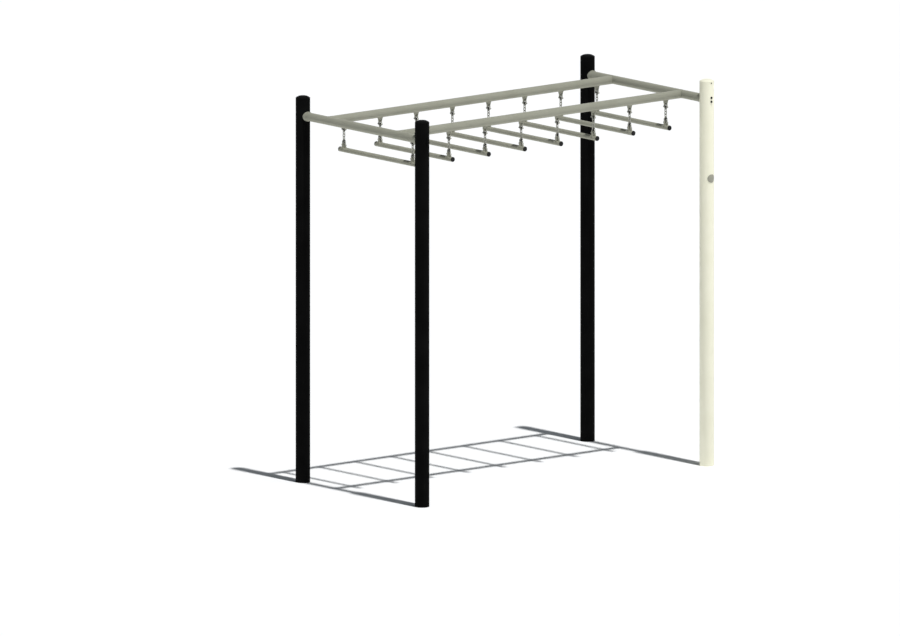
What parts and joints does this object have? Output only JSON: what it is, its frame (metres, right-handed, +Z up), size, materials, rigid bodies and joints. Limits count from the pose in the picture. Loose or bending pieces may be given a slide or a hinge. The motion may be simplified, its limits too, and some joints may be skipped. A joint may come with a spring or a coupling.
{
  "type": "monkey bars",
  "caption": "Outdoor horizontal ladder on four round posts, with free-swinging rungs hung on short chains between two rails.",
  "frame": {"origin": "middle of the four posts on the ground", "axes": "+Z up, +X along the ladder towards the cream post's end, +Y across it, away from the cream post"},
  "size_m": [2.7004, 1.413, 2.745],
  "materials": {
    "black_paint": "satin powder coat, black",
    "cream_paint": "satin powder coat, cream white",
    "grey_paint": "satin powder coat, warm grey",
    "zinc_steel": "dull zinc on forged and bent steel",
    "black_plastic": "moulded, matt black",
    "disc_grey": "plain matt grey, bare"
  },
  "bodies": {
    "frame": {"post_left_front": "black_paint", "post_cap_left_front": "black_paint", "beam_saddle_left_front": "grey_paint", "post_left_back": "black_paint", "post_cap_left_back": "black_paint", "beam_saddle_left_back": "grey_paint", "post_right_front": "cream_paint", "post_cap_right_front": "cream_paint", "beam_saddle_right_front": "grey_paint", "post_right_back": "black_paint", "post_cap_right_back": "black_paint", "beam_saddle_right_back": "grey_paint", "end_beam_left": "grey_paint", "end_beam_right": "grey_paint", "rail_front": "grey_paint", "rail_back": "grey_paint", "badge_disc": "disc_grey"},
    "hanger_1": {"chain_1_front": "zinc_steel", "chain_1_back": "zinc_steel"},
    "rung_body_1": {"rung_1": "grey_paint", "rung_cap_1_front": "black_plastic", "rung_cap_1_back": "black_plastic"},
    "hanger_2": {"chain_2_front": "zinc_steel", "chain_2_back": "zinc_steel"},
    "rung_body_2": {"rung_2": "grey_paint", "rung_cap_2_front": "black_plastic", "rung_cap_2_back": "black_plastic"},
    "hanger_3": {"chain_3_front": "zinc_steel", "chain_3_back": "zinc_steel"},
    "rung_body_3": {"rung_3": "grey_paint", "rung_cap_3_front": "black_plastic", "rung_cap_3_back": "black_plastic"},
    "hanger_4": {"chain_4_front": "zinc_steel", "chain_4_back": "zinc_steel"},
    "rung_body_4": {"rung_4": "grey_paint", "rung_cap_4_front": "black_plastic", "rung_cap_4_back": "black_plastic"},
    "hanger_5": {"chain_5_front": "zinc_steel", "chain_5_back": "zinc_steel"},
    "rung_body_5": {"rung_5": "grey_paint", "rung_cap_5_front": "black_plastic", "rung_cap_5_back": "black_plastic"},
    "hanger_6": {"chain_6_front": "zinc_steel", "chain_6_back": "zinc_steel"},
    "rung_body_6": {"rung_6": "grey_paint", "rung_cap_6_front": "black_plastic", "rung_cap_6_back": "black_plastic"},
    "hanger_7": {"chain_7_front": "zinc_steel", "chain_7_back": "zinc_steel"},
    "rung_body_7": {"rung_7": "grey_paint", "rung_cap_7_front": "black_plastic", "rung_cap_7_back": "black_plastic"},
    "hanger_8": {"chain_8_front": "zinc_steel", "chain_8_back": "zinc_steel"},
    "rung_body_8": {"rung_8": "grey_paint", "rung_cap_8_front": "black_plastic", "rung_cap_8_back": "black_plastic"}
  },
  "joints": [
    {"name": "hanger_1_swing", "type": "hinge", "parent": "frame", "child": "hanger_1", "pos_m": [-1.155, 0, 2.55365], "axis": [0, 1, 0], "range_deg": [-45, 45]},
    {"name": "rung_1_tilt", "type": "hinge", "parent": "hanger_1", "child": "rung_body_1", "pos_m": [-1.155, 0, 2.41655], "axis": [0, 1, 0], "range_deg": [-45, 45]},
    {"name": "hanger_2_swing", "type": "hinge", "parent": "frame", "child": "hanger_2", "pos_m": [-0.825, 0, 2.55365], "axis": [0, 1, 0], "range_deg": [-45, 45]},
    {"name": "rung_2_tilt", "type": "hinge", "parent": "hanger_2", "child": "rung_body_2", "pos_m": [-0.825, 0, 2.41655], "axis": [0, 1, 0], "range_deg": [-45, 45]},
    {"name": "hanger_3_swing", "type": "hinge", "parent": "frame", "child": "hanger_3", "pos_m": [-0.495, 0, 2.55365], "axis": [0, 1, 0], "range_deg": [-45, 45]},
    {"name": "rung_3_tilt", "type": "hinge", "parent": "hanger_3", "child": "rung_body_3", "pos_m": [-0.495, 0, 2.41655], "axis": [0, 1, 0], "range_deg": [-45, 45]},
    {"name": "hanger_4_swing", "type": "hinge", "parent": "frame", "child": "hanger_4", "pos_m": [-0.165, 0, 2.55365], "axis": [0, 1, 0], "range_deg": [-45, 45]},
    {"name": "rung_4_tilt", "type": "hinge", "parent": "hanger_4", "child": "rung_body_4", "pos_m": [-0.165, 0, 2.41655], "axis": [0, 1, 0], "range_deg": [-45, 45]},
    {"name": "hanger_5_swing", "type": "hinge", "parent": "frame", "child": "hanger_5", "pos_m": [0.165, 0, 2.55365], "axis": [0, 1, 0], "range_deg": [-45, 45]},
    {"name": "rung_5_tilt", "type": "hinge", "parent": "hanger_5", "child": "rung_body_5", "pos_m": [0.165, 0, 2.41655], "axis": [0, 1, 0], "range_deg": [-45, 45]},
    {"name": "hanger_6_swing", "type": "hinge", "parent": "frame", "child": "hanger_6", "pos_m": [0.495, 0, 2.55365], "axis": [0, 1, 0], "range_deg": [-45, 45]},
    {"name": "rung_6_tilt", "type": "hinge", "parent": "hanger_6", "child": "rung_body_6", "pos_m": [0.495, 0, 2.41655], "axis": [0, 1, 0], "range_deg": [-45, 45]},
    {"name": "hanger_7_swing", "type": "hinge", "parent": "frame", "child": "hanger_7", "pos_m": [0.825, 0, 2.55365], "axis": [0, 1, 0], "range_deg": [-45, 45]},
    {"name": "rung_7_tilt", "type": "hinge", "parent": "hanger_7", "child": "rung_body_7", "pos_m": [0.825, 0, 2.41655], "axis": [0, 1, 0], "range_deg": [-45, 45]},
    {"name": "hanger_8_swing", "type": "hinge", "parent": "frame", "child": "hanger_8", "pos_m": [1.155, 0, 2.55365], "axis": [0, 1, 0], "range_deg": [-45, 45]},
    {"name": "rung_8_tilt", "type": "hinge", "parent": "hanger_8", "child": "rung_body_8", "pos_m": [1.155, 0, 2.41655], "axis": [0, 1, 0], "range_deg": [-45, 45]}
  ]
}
